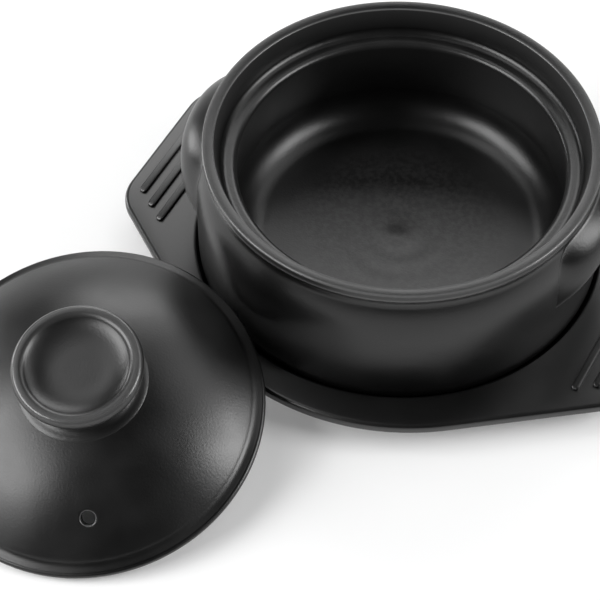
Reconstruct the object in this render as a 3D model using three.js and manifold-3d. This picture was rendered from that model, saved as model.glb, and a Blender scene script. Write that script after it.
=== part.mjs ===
// A stoneware pot with a stepped rim and two lugs, standing in the seat of a winged serving tray,
// with its domed lid taken off and leaning beside it.
// Millimetres, +Z up. The origin is the centre of the tray's flat underside, +X runs along the wings.
import * as THREE from 'three';
import { mergeVertices } from 'three/addons/utils/BufferGeometryUtils.js';
import Module from 'manifold-3d';

const wasm = await Module();
wasm.setup();

const degrees = THREE.MathUtils.degToRad;

// Pot: outside
const BELLY_RADIUS = 88.3;
const POT_HEIGHT = 70.9;
const BASE_CORNER_RADIUS = 16;
const NECK_DEPTH = 5.3;
const NECK_DROP = 9.2;
const SHOULDER_DROP = 25;
const LIP_OVERHANG = 2;
const LIP_EDGE = 1.6;
const LIP_CROWN = 1.2;

// Pot: lip, gallery for the lid and cooking well
const LIP_WIDTH = 5;
const GALLERY_TAPER = 2;
const GALLERY_FILLET = 2;
const LEDGE_DROP = 12.7;
const LEDGE_WIDTH = 7.6;
const LEDGE_ROUND = 1;
const WELL_FLARE = 2.6;
const WELL_CORNER_RADIUS = 12;
const POT_FLOOR = 9.7;

// Lugs: hoods whose lower edge is an arch between two tips on the belly
const LUG_REACH = 8.4;
const LUG_HALF_SPAN = 33.5;
const LUG_TIP_THICKNESS = 1.2;
const LUG_ARCH_TOP_DROP = 17.5;
const LUG_TIP_DROP = 36;
const LUG_EDGE = 3.6;
const LUG_BRIM_ROUND = 2.2;

// Lid
const LID_CLEARANCE = 4;
const LID_EDGE = 3.2;
const LID_EDGE_ROUND = 1.3;
const LID_BAND = 5.5;
const LID_BAND_RISE = 1.8;
const DOME_RISE = 26.2;
const LID_WALL = 5.5;
const VENT_RADIUS = 3.5;
const VENT_DISTANCE = 53.5;
const VENT_HEADING = degrees(-58);

// Knob
const KNOB_RADIUS = 27;
const KNOB_HEIGHT = 13.4;
const KNOB_RIM = 9.2;
const KNOB_NECK_RADIUS = 21;
const KNOB_FLARE_RADIUS = 27.8;
const KNOB_FLARE_EDGE = 0.8;
const KNOB_DISH_RADIUS = 22.6;
const KNOB_DISH_DEPTH = 4;

// Tray
const SEAT_CLEARANCE = 3.1;
const SEAT_DEPTH = 10;
const SEAT_FILLET = 7;
const SEAT_DRAFT = 1.2;
const SEAT_EDGE_ROUND = 1.2;
const TRAY_FLOOR = 5;
const TRAY_FOOT_INSET = 11;
const DISH_WALL = 4.5;
const BRIM_WIDTH = 12.2;
const PLATE_THICKNESS = 5.2;
const PLATE_EDGE_ROUND = 1.9;
const WING_REACH = 20.4;
const WING_SIDE_ANGLE = degrees(36.6);
const WING_CORNER_RADIUS = 21;

// Grip ribs on each wing
const RIB_COUNT = 3;
const RIB_PITCH = 7.45;
const RIB_EDGE_INSET = 8.4;
const RIB_END_INSET = 12;
const RIB_WIDTH = 3.4;
const RIB_HEIGHT = 1.8;
const RIB_ROUND = 0.9;
const RIB_ROOT = 0.6;

// Where the loose pieces stand
const SEAT_GAP = 0.3;
const LUTE_GAP = 0.4;
const POT_TURN = degrees(9.2);
const POT_SHIFT_X = -2.8;
const POT_SHIFT_Y = 0.2;
const LID_STANDOFF = 1.5;
const LID_HEADING = degrees(-115.3);
const LID_LEAN = degrees(13.4);
const LID_LEAN_HEADING = degrees(-84);
const LID_FLOOR_GAP = 0.3;

// Fineness of the facets
const POT_SEGMENTS = 60;
const LID_SEGMENTS = 52;
const KNOB_SEGMENTS = 36;
const CURVE_STEPS = 12;
const PROFILE_TOLERANCE = 0.16;
const OUTLINE_STEPS = 7;
const RIB_STEPS = 3;
const BEVEL_STEPS = 2;
const ARCH_STEPS = 14;
const VENT_SEGMENTS = 20;
const WELD = 1e-4;
const CUT_MARGIN = 5;

// Sizes that follow from the driving dimensions
const neckRadius = BELLY_RADIUS - NECK_DEPTH;
const lipRadius = neckRadius + LIP_OVERHANG;
const mouthRadius = lipRadius - LIP_WIDTH;
const galleryFootRadius = mouthRadius - GALLERY_TAPER;
const wellMouthRadius = galleryFootRadius - LEDGE_WIDTH;
const wellRadius = wellMouthRadius + WELL_FLARE;
const neckHeight = POT_HEIGHT - NECK_DROP;
const ledgeHeight = POT_HEIGHT - LEDGE_DROP;
const lidRadius = galleryFootRadius - LID_CLEARANCE;
const valleyRadius = lidRadius - LID_BAND;
const valleyHeight = LID_EDGE + LID_BAND_RISE;
const domeTop = valleyHeight + DOME_RISE;
const domeRadius = (DOME_RISE ** 2 + valleyRadius ** 2) / (2 * DOME_RISE);
const domeCentre = domeTop - domeRadius;
const seatRadius = BELLY_RADIUS + SEAT_CLEARANCE;
const discRadius = seatRadius + BRIM_WIDTH;
const wingEnd = discRadius + WING_REACH;
const plateTop = TRAY_FLOOR + SEAT_DEPTH;
const plateUnderside = plateTop - PLATE_THICKNESS;

/** Weld a closed geometry into a solid that can be joined and cut. */
function solidOf(geometry) {
  const bare = geometry.clone();
  bare.deleteAttribute('normal');
  bare.deleteAttribute('uv');
  const welded = mergeVertices(bare, WELD);
  const corners = welded.index.array;
  const kept = [];
  for (let i = 0; i < corners.length; i += 3) {
    const [a, b, c] = corners.slice(i, i + 3);
    if (a !== b && b !== c && c !== a) kept.push(a, b, c);
  }
  return new wasm.Manifold(new wasm.Mesh({
    numProp: 3,
    vertProperties: new Float32Array(welded.attributes.position.array),
    triVerts: new Uint32Array(kept),
  }));
}

/** Give a solid back as a geometry. */
function geometryOf(solid) {
  const mesh = solid.getMesh();
  const geometry = new THREE.BufferGeometry();
  geometry.setAttribute('position', new THREE.BufferAttribute(mesh.vertProperties, 3));
  geometry.setIndex(new THREE.BufferAttribute(mesh.triVerts, 1));
  geometry.computeVertexNormals();
  return geometry;
}

/** Keep only the points that a profile needs to stay within the tolerance of its curves. */
function thinned(points) {
  const first = points[0];
  const last = points.at(-1);
  const chord = last.clone().sub(first);
  const offsets = points.map((point) => Math.abs(chord.cross(point.clone().sub(first))) / chord.length());
  const worst = Math.max(...offsets);
  if (worst <= PROFILE_TOLERANCE) return [first, last];
  const split = offsets.indexOf(worst);
  return [...thinned(points.slice(0, split + 1)), ...thinned(points.slice(split)).slice(1)];
}

/** Turn a profile of radius and height about +Z. */
function turned(path, segments) {
  const geometry = new THREE.LatheGeometry(thinned(path.getPoints(CURVE_STEPS)), segments);
  return solidOf(geometry.rotateX(Math.PI / 2));
}

/** Extrude a shape drawn in X and Y upwards from a height, with its edges rounded. */
function raised(shape, bottom, thickness, round, curveSegments) {
  const geometry = new THREE.ExtrudeGeometry(shape, {
    depth: thickness - 2 * round,
    bevelThickness: round,
    bevelSize: round,
    bevelOffset: -round,
    bevelSegments: BEVEL_STEPS,
    curveSegments,
  });
  return solidOf(geometry.translate(0, 0, bottom + round));
}

/** Draw the pot's outside from the middle of its base to the edge of its lip. */
function potOutside(outset = 0) {
  const belly = BELLY_RADIUS + outset;
  const neck = neckRadius + outset;
  const lip = lipRadius + outset;
  const shoulder = POT_HEIGHT - SHOULDER_DROP;
  const lipUnderside = POT_HEIGHT - LIP_CROWN - LIP_EDGE;
  const path = new THREE.Path();
  path.moveTo(0, 0);
  path.lineTo(belly - BASE_CORNER_RADIUS, 0);
  path.absarc(belly - BASE_CORNER_RADIUS, BASE_CORNER_RADIUS, BASE_CORNER_RADIUS, -Math.PI / 2, 0, false);
  path.lineTo(belly, shoulder);
  path.bezierCurveTo(
    belly, (shoulder + 2 * neckHeight) / 3, neck, (shoulder + neckHeight) / 2, neck, neckHeight,
  );
  path.quadraticCurveTo(neck, (neckHeight + 2 * lipUnderside) / 3, lip, lipUnderside);
  path.lineTo(lip, POT_HEIGHT - LIP_CROWN);
  return path;
}

/** The pot without its lugs. */
function potBody() {
  const path = potOutside();
  const crown = (lipRadius + mouthRadius) / 2;
  path.quadraticCurveTo(lipRadius - LIP_EDGE / 4, POT_HEIGHT, crown, POT_HEIGHT);
  path.quadraticCurveTo(mouthRadius, POT_HEIGHT, mouthRadius, POT_HEIGHT - LIP_CROWN);
  path.absarc(
    galleryFootRadius - GALLERY_FILLET, ledgeHeight + GALLERY_FILLET, GALLERY_FILLET, 0, -Math.PI / 2, true,
  );
  path.absarc(
    wellMouthRadius + LEDGE_ROUND, ledgeHeight - LEDGE_ROUND, LEDGE_ROUND, Math.PI / 2, Math.PI, false,
  );
  const wellCorner = POT_FLOOR + WELL_CORNER_RADIUS;
  path.absarc(wellRadius - WELL_CORNER_RADIUS, wellCorner, WELL_CORNER_RADIUS, 0, -Math.PI / 2, true);
  path.lineTo(0, POT_FLOOR);
  return turned(path, POT_SEGMENTS);
}

/** One lug, on the +X side of the pot. */
function lug() {
  const reach = BELLY_RADIUS + LUG_REACH;
  // In plan the hood is a circle through the reach and both tips
  const tipDistance = Math.sqrt(BELLY_RADIUS ** 2 - LUG_HALF_SPAN ** 2) + LUG_TIP_THICKNESS;
  const hoodRise = reach - tipDistance;
  const hoodRadius = (hoodRise ** 2 + LUG_HALF_SPAN ** 2) / (2 * hoodRise);
  const hoodCentre = reach - hoodRadius;
  const archTop = POT_HEIGHT - LUG_ARCH_TOP_DROP;
  const tipHeight = POT_HEIGHT - LUG_TIP_DROP;
  const brim = archTop + LUG_EDGE;
  const neckInHood = neckRadius - hoodCentre;

  const profile = new THREE.Path();
  profile.moveTo(0, tipHeight - CUT_MARGIN);
  profile.lineTo(hoodRadius, tipHeight - CUT_MARGIN);
  profile.lineTo(hoodRadius, brim - LUG_BRIM_ROUND);
  profile.quadraticCurveTo(hoodRadius, brim, hoodRadius - LUG_BRIM_ROUND, brim + LUG_BRIM_ROUND / 3);
  profile.quadraticCurveTo(neckInHood + LIP_OVERHANG, brim + LUG_BRIM_ROUND, neckInHood, neckHeight);
  profile.lineTo(0, neckHeight);
  const hood = turned(profile, POT_SEGMENTS).translate(hoodCentre, 0, 0);

  // The arch is drawn across the lug and pushed out along the radius
  const arch = new THREE.Shape();
  arch.moveTo(-LUG_HALF_SPAN, tipHeight);
  arch.quadraticCurveTo(0, 2 * archTop - tipHeight, LUG_HALF_SPAN, tipHeight);
  arch.lineTo(LUG_HALF_SPAN, POT_HEIGHT);
  arch.lineTo(-LUG_HALF_SPAN, POT_HEIGHT);
  const outwards = { depth: reach, bevelEnabled: false, curveSegments: ARCH_STEPS };
  const slab = new THREE.ExtrudeGeometry(arch, outwards);
  // Drawn X becomes +Y, drawn Y becomes +Z, depth becomes +X
  slab.rotateX(Math.PI / 2).rotateZ(Math.PI / 2);

  const wall = potOutside(LUTE_GAP);
  wall.lineTo(0, POT_HEIGHT - LIP_CROWN);
  return hood.intersect(solidOf(slab)).subtract(turned(wall, POT_SEGMENTS));
}

/** Angle on a sphere about the dome's centre at which it reaches a radius from the axis. */
function domeAngle(sphere, radius) {
  return Math.acos(radius / sphere);
}

/** The lid without its knob, standing on its rim. */
function lidDome() {
  const innerSphere = domeRadius - LID_WALL;
  const path = new THREE.Path();
  path.moveTo(0, domeCentre + innerSphere);
  path.absarc(0, domeCentre, innerSphere, Math.PI / 2, Math.asin(-domeCentre / innerSphere), true);
  path.absarc(lidRadius - LID_EDGE_ROUND, LID_EDGE_ROUND, LID_EDGE_ROUND, -Math.PI / 2, 0, false);
  path.absarc(lidRadius - LID_EDGE_ROUND, LID_EDGE - LID_EDGE_ROUND, LID_EDGE_ROUND, 0, Math.PI / 2, false);
  path.quadraticCurveTo((lidRadius + valleyRadius) / 2, valleyHeight, valleyRadius, valleyHeight);
  path.absarc(0, domeCentre, domeRadius, domeAngle(domeRadius, valleyRadius), Math.PI / 2, false);
  const dome = turned(path, LID_SEGMENTS);

  // The vent is bored square to the dome's surface
  const tilt = Math.asin(VENT_DISTANCE / domeRadius);
  const bore = new THREE.CylinderGeometry(VENT_RADIUS, VENT_RADIUS, 4 * LID_WALL, VENT_SEGMENTS);
  bore.rotateX(Math.PI / 2).translate(0, 0, domeRadius).rotateY(tilt).rotateZ(VENT_HEADING);
  return dome.subtract(solidOf(bore.translate(0, 0, domeCentre)));
}

/** The knob, standing on the dome. */
function lidKnob() {
  const seat = domeRadius + LUTE_GAP;
  const flareBottom = domeCentre + Math.sqrt(seat ** 2 - KNOB_FLARE_RADIUS ** 2);
  const top = domeTop + KNOB_HEIGHT;
  const rimBottom = top - KNOB_RIM;
  const rimCorner = KNOB_RADIUS - KNOB_DISH_RADIUS;
  const path = new THREE.Path();
  path.moveTo(0, domeCentre + seat);
  path.absarc(0, domeCentre, seat, Math.PI / 2, domeAngle(seat, KNOB_FLARE_RADIUS), true);
  path.lineTo(KNOB_FLARE_RADIUS, flareBottom + KNOB_FLARE_EDGE);
  path.quadraticCurveTo(KNOB_NECK_RADIUS, flareBottom + KNOB_FLARE_EDGE, KNOB_NECK_RADIUS, rimBottom);
  path.quadraticCurveTo(KNOB_RADIUS, rimBottom, KNOB_RADIUS, top - rimCorner);
  path.quadraticCurveTo(KNOB_RADIUS, top, KNOB_RADIUS - rimCorner / 2, top);
  path.quadraticCurveTo(KNOB_DISH_RADIUS, top, KNOB_DISH_RADIUS - rimCorner / 2, top - KNOB_DISH_DEPTH / 2);
  path.quadraticCurveTo(KNOB_NECK_RADIUS - rimCorner, top - KNOB_DISH_DEPTH, 0, top - KNOB_DISH_DEPTH);
  return turned(path, KNOB_SEGMENTS);
}

/** The tray's plan: a disc with two wings whose sides are tangent to it. */
function trayOutline() {
  const quarter = Math.PI / 2;
  const side = WING_SIDE_ANGLE;
  const cornerX = wingEnd - WING_CORNER_RADIUS;
  const cornerY = (discRadius - WING_CORNER_RADIUS - cornerX * Math.sin(side)) / Math.cos(side);
  const shape = new THREE.Shape();
  shape.absarc(0, 0, discRadius, -quarter - side, -quarter + side, false);
  shape.absarc(cornerX, -cornerY, WING_CORNER_RADIUS, -quarter + side, 0, false);
  shape.absarc(cornerX, cornerY, WING_CORNER_RADIUS, 0, quarter - side, false);
  shape.absarc(0, 0, discRadius, quarter - side, quarter + side, false);
  shape.absarc(-cornerX, cornerY, WING_CORNER_RADIUS, quarter + side, 2 * quarter, false);
  shape.absarc(-cornerX, -cornerY, WING_CORNER_RADIUS, 2 * quarter, 3 * quarter - side, false);
  shape.closePath();
  return shape;
}

/** Grip rib number i of a wing; hand is +1 or -1 for the wing it is on. */
function gripRib(i, hand) {
  const x = wingEnd - RIB_EDGE_INSET - i * RIB_PITCH;
  const wingHalfWidth = (discRadius - x * Math.sin(WING_SIDE_ANGLE)) / Math.cos(WING_SIDE_ANGLE);
  const end = wingHalfWidth - RIB_END_INSET - RIB_WIDTH / 2;
  const shape = new THREE.Shape();
  shape.absarc(hand * x, end, RIB_WIDTH / 2, 0, Math.PI, false);
  shape.absarc(hand * x, -end, RIB_WIDTH / 2, Math.PI, 2 * Math.PI, false);
  shape.closePath();
  const root = RIB_ROOT + RIB_ROUND;
  return raised(shape, plateTop - root, RIB_HEIGHT + root, RIB_ROUND, RIB_STEPS);
}

/** The tray: winged plate, dish under its seat, ribs. */
function tray() {
  const dish = new THREE.Path();
  const dishRadius = seatRadius + DISH_WALL;
  dish.moveTo(0, 0);
  dish.lineTo(seatRadius - TRAY_FOOT_INSET, 0);
  dish.quadraticCurveTo(dishRadius, 0, dishRadius, plateUnderside + PLATE_EDGE_ROUND);
  dish.lineTo(0, plateUnderside + PLATE_EDGE_ROUND);

  const seat = new THREE.Path();
  const seatFoot = seatRadius - SEAT_DRAFT;
  seat.moveTo(0, TRAY_FLOOR);
  seat.lineTo(seatFoot - SEAT_FILLET, TRAY_FLOOR);
  seat.absarc(seatFoot - SEAT_FILLET, TRAY_FLOOR + SEAT_FILLET, SEAT_FILLET, -Math.PI / 2, 0, false);
  seat.lineTo(seatRadius, plateTop - SEAT_EDGE_ROUND);
  seat.quadraticCurveTo(seatRadius, plateTop, seatRadius + SEAT_EDGE_ROUND, plateTop);
  seat.lineTo(seatRadius + SEAT_EDGE_ROUND, plateTop + CUT_MARGIN);
  seat.lineTo(0, plateTop + CUT_MARGIN);

  const plate = raised(trayOutline(), plateUnderside, PLATE_THICKNESS, PLATE_EDGE_ROUND, OUTLINE_STEPS);
  let body = plate.add(turned(dish, POT_SEGMENTS));
  for (const hand of [1, -1]) {
    for (let i = 0; i < RIB_COUNT; i += 1) body = body.add(gripRib(i, hand));
  }
  return body.subtract(turned(seat, POT_SEGMENTS));
}

/** A named piece with its own finish. */
function piece(name, solid, color, roughness) {
  const material = new THREE.MeshStandardMaterial({ color, roughness, metalness: 0 });
  const mesh = new THREE.Mesh(geometryOf(solid), material);
  mesh.name = name;
  return mesh;
}

const GLAZE = 0x1d1d1f;
const GLAZE_ROUGHNESS = 0.42;
const MELAMINE = 0x1a1a1b;
const MELAMINE_ROUGHNESS = 0.38;

const pot = new THREE.Group();
const lugSolid = lug();
const leftLug = piece('left_lug', lugSolid, GLAZE, GLAZE_ROUGHNESS);
leftLug.rotation.z = Math.PI;
pot.add(piece('pot_body', potBody(), GLAZE, GLAZE_ROUGHNESS));
pot.add(leftLug);
pot.add(piece('right_lug', lugSolid, GLAZE, GLAZE_ROUGHNESS));
pot.position.set(POT_SHIFT_X, POT_SHIFT_Y, TRAY_FLOOR + SEAT_GAP);
pot.rotation.z = POT_TURN;

const lid = new THREE.Group();
lid.add(piece('lid_dome', lidDome(), GLAZE, GLAZE_ROUGHNESS));
lid.add(piece('lid_knob', lidKnob(), GLAZE, GLAZE_ROUGHNESS));
const lidDistance = BELLY_RADIUS + LID_STANDOFF + lidRadius;
const lidEdgeDrop = (lidRadius - LID_EDGE_ROUND) * Math.sin(LID_LEAN);
const lidEdgeLift = LID_EDGE_ROUND * (1 - Math.cos(LID_LEAN));
lid.position.set(
  POT_SHIFT_X + lidDistance * Math.cos(LID_HEADING),
  POT_SHIFT_Y + lidDistance * Math.sin(LID_HEADING),
  lidEdgeDrop + lidEdgeLift + LID_FLOOR_GAP,
);
const leanAxis = new THREE.Vector3(-Math.sin(LID_LEAN_HEADING), Math.cos(LID_LEAN_HEADING), 0);
lid.quaternion.setFromAxisAngle(leanAxis, LID_LEAN);

const set = new THREE.Group();
set.add(piece('tray', tray(), MELAMINE, MELAMINE_ROUGHNESS));
set.add(pot);
set.add(lid);

export default set;
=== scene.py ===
"""Looks of a black stoneware stew pot with two lugs, its domed lid and a winged serving tray.

The classes hold sizes in millimetres, the meshes are in metres, and +Z is up. Every piece stands where
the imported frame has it, and takes its main sizes from there.
"""
import logging
import math
from dataclasses import dataclass, field
from enum import Enum
from functools import partial
from typing import Any, Sequence

import bpy
import numpy as np
from mathutils import Matrix, Vector


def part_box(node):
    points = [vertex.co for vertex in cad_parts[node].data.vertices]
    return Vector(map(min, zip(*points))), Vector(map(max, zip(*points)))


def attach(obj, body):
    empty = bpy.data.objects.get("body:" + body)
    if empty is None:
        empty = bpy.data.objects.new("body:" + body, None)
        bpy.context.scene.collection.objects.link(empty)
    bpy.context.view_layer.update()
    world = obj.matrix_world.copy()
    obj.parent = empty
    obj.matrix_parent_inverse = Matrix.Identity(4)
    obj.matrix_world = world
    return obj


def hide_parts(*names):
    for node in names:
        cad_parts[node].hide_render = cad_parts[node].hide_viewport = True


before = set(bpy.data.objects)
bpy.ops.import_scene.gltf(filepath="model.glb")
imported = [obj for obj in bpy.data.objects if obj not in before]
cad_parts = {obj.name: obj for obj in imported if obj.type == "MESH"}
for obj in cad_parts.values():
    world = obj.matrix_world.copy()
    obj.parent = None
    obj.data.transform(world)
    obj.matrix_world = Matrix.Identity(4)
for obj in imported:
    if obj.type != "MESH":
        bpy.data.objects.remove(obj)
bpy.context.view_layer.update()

LOG = logging.getLogger("clay_pot")
MM = 0.001
# Turning, in metres: radius of the rail that carries a profile, and distance at which points are welded
SPINDLE = 0.01
WELD = 2e-6
# An arc starts with no new point if it starts nearer than this to the last one, in millimetres
SAME_POINT = 1e-6
# Least square of an edge's length that is divided by, in square metres
LEAST_SQUARE = 1e-12
# How often the measure of an edge is spread to the points round it
EDGE_SPREADS = 3

Point = tuple[float, float]
Curve = tuple[Point, Point]
Tree = bpy.types.NodeTree
Node = bpy.types.Node
Socket = bpy.types.NodeSocket
Source = Node | Socket
Material = bpy.types.Material
Mesh = bpy.types.Mesh
Piece = bpy.types.Object


class Side(Enum):
    """The two sides of the set, by the sign of X."""

    RIGHT = 1
    LEFT = -1


class Blend(Enum):
    """How glaze lies on a piece: plain, or over the rings of a thrown floor."""

    PLAIN = "plain"
    THROWN = "thrown"


def linear(code: str) -> tuple[float, float, float, float]:
    """Turn an sRGB hex colour into linear RGBA.

    Args:
        code: Six hex digits, such as "1c1c1e".

    Returns:
        Linear red, green and blue with alpha 1.
    """
    channels = [int(code[i:i + 2], 16) / 255 for i in (0, 2, 4)]
    return (*[c / 12.92 if c <= 0.04045 else ((c + 0.055) / 1.055) ** 2.4 for c in channels], 1.0)


def feed(tree: Tree, node: Node, inputs: dict[Any, Any]) -> None:
    """Fill or link inputs of a node.

    Args:
        tree: Tree that holds the node.
        node: Node to feed.
        inputs: Socket name or number to a value, an output, a node for its first output, or a list of these.
    """
    for key, value in inputs.items():
        for source in value if isinstance(value, list) else [value]:
            if isinstance(source, Node):
                source = source.outputs[0]
            if isinstance(source, Socket):
                tree.links.new(source, node.inputs[key])
            else:
                node.inputs[key].default_value = source


def add_node(tree: Tree, kind: str, inputs: dict[Any, Any] | None = None, **settings: Any) -> Node:
    """Add a node with its settings, and fill or link its inputs.

    Args:
        tree: Tree that gets the node.
        kind: Blender's identifier of the node type.
        inputs: Inputs as feed takes them.
        **settings: Properties of the node.

    Returns:
        The new node.
    """
    node = tree.nodes.new(kind)
    for name, value in settings.items():
        setattr(node, name, value)
    feed(tree, node, inputs or {})
    return node


def geometry_tree(name: str, sizes: dict[str, str]) -> tuple[Tree, Node]:
    """Start a Geometry Nodes tree that takes a form, named sizes and a finish.

    Args:
        name: Name of the tree.
        sizes: Input name to socket type, after the form itself.

    Returns:
        The tree and its group input.
    """
    tree = bpy.data.node_groups.new(name, "GeometryNodeTree")
    tree.interface.new_socket("Form", in_out="INPUT", socket_type="NodeSocketGeometry")
    for label, kind in {**sizes, "Finish": "NodeSocketMaterial"}.items():
        tree.interface.new_socket(label, in_out="INPUT", socket_type=kind)
    tree.interface.new_socket("Form", in_out="OUTPUT", socket_type="NodeSocketGeometry")
    return tree, add_node(tree, "NodeGroupInput")


def end_tree(tree: Tree, form: Node, finish: Socket) -> None:
    """Close a Geometry Nodes tree with smooth shading, Realize Instances and Set Material.

    Args:
        tree: Tree to close.
        form: Node that gives the geometry.
        finish: Material socket of the group input.
    """
    smooth = add_node(tree, "GeometryNodeSetShadeSmooth", {"Geometry": form})
    real = add_node(tree, "GeometryNodeRealizeInstances", {"Geometry": smooth})
    dressed = add_node(tree, "GeometryNodeSetMaterial", {"Geometry": real, "Material": finish})
    add_node(tree, "NodeGroupOutput", {"Form": dressed})


def evaluated(piece: Piece) -> Mesh:
    """Give what a piece's modifiers make, as a plain mesh of its own."""
    graph = bpy.context.evaluated_depsgraph_get()
    return bpy.data.meshes.new_from_object(piece.evaluated_get(graph), depsgraph=graph)


def run_tree(source: Piece, tree: Tree, values: dict[str, Any]) -> Mesh:
    """Run a Geometry Nodes tree on an object and take the object away.

    Args:
        source: Object that holds the form the tree starts from.
        tree: Tree to run.
        values: Input name to value.

    Returns:
        The result as a plain mesh.
    """
    modifier = source.modifiers.new(tree.name, "NODES")
    modifier.node_group = tree
    for item in tree.interface.items_tree:
        if item.in_out == "INPUT" and item.name in values:
            modifier[item.identifier] = values[item.name]
    mesh = evaluated(source)
    source.modifiers.remove(modifier)
    bpy.data.objects.remove(source)
    return mesh


def placed(name: str, data: bpy.types.ID) -> Piece:
    """Put data into the scene as an object at the origin.

    Args:
        name: Name of the object.
        data: Mesh, curve, lamp or camera.

    Returns:
        The object.
    """
    piece = bpy.data.objects.new(name, data)
    bpy.context.scene.collection.objects.link(piece)
    return piece


def columns(items: bpy.types.bpy_prop_collection, name: str, width: int,
            kind: type = np.float32) -> np.ndarray:
    """Read a property of many items at once.

    Args:
        items: Points, edges or triangles of a mesh.
        name: Name of the property.
        width: How many numbers it has.
        kind: Type of the numbers.

    Returns:
        One row for each item.
    """
    values = np.empty(len(items) * width, kind)
    items.foreach_get(name, values)
    return values.reshape(-1, width)


def store(mesh: Mesh, name: str, values: np.ndarray) -> None:
    """Store a share from 0 to 1 at each point of a mesh, for its finish to read.

    Args:
        mesh: Mesh that gets the attribute.
        name: Name of the attribute.
        values: One share for each point.
    """
    layer = mesh.attributes.new(name, "FLOAT", "POINT")
    layer.data.foreach_set("value", values.astype(np.float32))


def face_out(mesh: Mesh) -> None:
    """Turn a closed mesh's faces outwards, going by the sign of its volume.

    Args:
        mesh: Mesh whose faces all point outwards or all point inwards.
    """
    mesh.calc_loop_triangles()
    place = columns(mesh.vertices, "co", 3)
    a, b, c = (place[corner] for corner in columns(mesh.loop_triangles, "vertices", 3, np.int32).T)
    if np.einsum("ij,ij->i", a, np.cross(b, c)).sum() < 0:
        mesh.flip_normals()


def thin_glaze_and_glints(mesh: Mesh, radius: float) -> None:
    """Store where a surface bends outwards, where glaze runs thin and where highlight lines along the edges
    are painted in as lighter grey.

    Args:
        mesh: Mesh that gets a point attribute for thin glaze and painted highlight lines, from 0 on flats to
            1 on sharp edges.
        radius: Bend radius in millimetres that counts as a sharp edge.
    """
    place = columns(mesh.vertices, "co", 3)
    normal = columns(mesh.vertices, "normal", 3)
    a, b = columns(mesh.edges, "vertices", 2, np.int32).T
    along = place[b] - place[a]
    bend = np.einsum("ij,ij->i", normal[b] - normal[a], along)
    bend /= np.maximum((along ** 2).sum(1), LEAST_SQUARE)
    share = np.clip(bend * radius * MM, 0, 1) ** 2
    count = len(place)
    thin_and_glint = np.zeros(count)
    np.maximum.at(thin_and_glint, a, share)
    np.maximum.at(thin_and_glint, b, share)
    degree = np.maximum(np.bincount(np.r_[a, b], minlength=count), 1)
    for _ in range(EDGE_SPREADS):
        around = np.bincount(a, thin_and_glint[b], count) + np.bincount(b, thin_and_glint[a], count)
        thin_and_glint = (thin_and_glint + around / degree) / 2
    store(mesh, "thin_and_glint", thin_and_glint)


def show(piece: Piece, body: str, node: str) -> None:
    """Hand a finished piece to the frame.

    Args:
        piece: Object at the origin with its place in its mesh.
        body: Body that it moves with.
        node: Solid that it stands for.
    """
    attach(piece, body)
    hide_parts(node)
    LOG.info("%s on %s: %d faces", piece.name, body, len(piece.data.polygons))


class Profile:
    """Outline of a turned piece, drawn as radius and height in millimetres."""

    def __init__(self, radius: float, height: float) -> None:
        """Start the outline at a point."""
        self.points: list[Point] = [(radius, height)]

    def line(self, radius: float, height: float, steps: int = 1) -> "Profile":
        """Draw a straight stretch.

        Args:
            radius: Radius at its end.
            height: Height at its end.
            steps: Number of parts to draw it in.

        Returns:
            The same profile.
        """
        r, z = self.points[-1]
        for i in range(1, steps + 1):
            self.points.append((r + (radius - r) * i / steps, z + (height - z) * i / steps))
        return self

    def arc(self, centre: Point, radius: float, start: float, end: float, steps: int = 16) -> "Profile":
        """Draw an arc, joined to what comes before by a straight stretch unless it starts there.

        Args:
            centre: Radius and height of the arc's centre.
            radius: Radius of the arc.
            start: Angle in degrees where it starts, from +radius towards +height.
            end: Angle in degrees where it ends.
            steps: Number of parts to draw it in.

        Returns:
            The same profile.
        """
        for i in range(steps + 1):
            angle = math.radians(start + (end - start) * i / steps)
            point = (centre[0] + radius * math.cos(angle), centre[1] + radius * math.sin(angle))
            if math.dist(point, self.points[-1]) > SAME_POINT:
                self.points.append(point)
        return self

    def curve(self, *controls: Point, steps: int = 20) -> "Profile":
        """Draw a Bezier curve from the last point through its controls' pull to the last of them.

        Args:
            *controls: Control points, the last one being the end.
            steps: Number of parts to draw it in.

        Returns:
            The same profile.
        """
        start = self.points[-1]
        for i in range(1, steps + 1):
            row = np.array([start, *controls], float)
            while len(row) > 1:
                row = row[:-1] + (row[1:] - row[:-1]) * i / steps
            self.points.append((float(row[0, 0]), float(row[0, 1])))
        return self

    def round_off(self, corner: Point, curve: Curve, steps: int) -> "Profile":
        """Draw a curve that rounds off a corner, with its control and its end given from there."""
        return self.curve(*[(corner[0] + r, corner[1] + z) for r, z in curve], steps=steps)


def turning_tree() -> Tree:
    """Geometry Nodes for a turned piece: its profile is carried round the Z axis and welded at the axis.

    Returns:
        The tree, which takes the profile as a curve with X as the radius less the spindle's.
    """
    sizes = {"Facets": "NodeSocketInt", "Spindle": "NodeSocketFloat", "Weld": "NodeSocketFloat"}
    tree, given = geometry_tree("turned_form", sizes)
    size = given.outputs
    rail = add_node(tree, "GeometryNodeCurvePrimitiveCircle", {
        "Resolution": size["Facets"], "Radius": size["Spindle"]})
    skin = add_node(tree, "GeometryNodeCurveToMesh", {"Curve": rail, "Profile Curve": size["Form"]})
    welded = add_node(tree, "GeometryNodeMergeByDistance", {"Geometry": skin, "Distance": size["Weld"]})
    end_tree(tree, welded, size["Finish"])
    return tree


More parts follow.
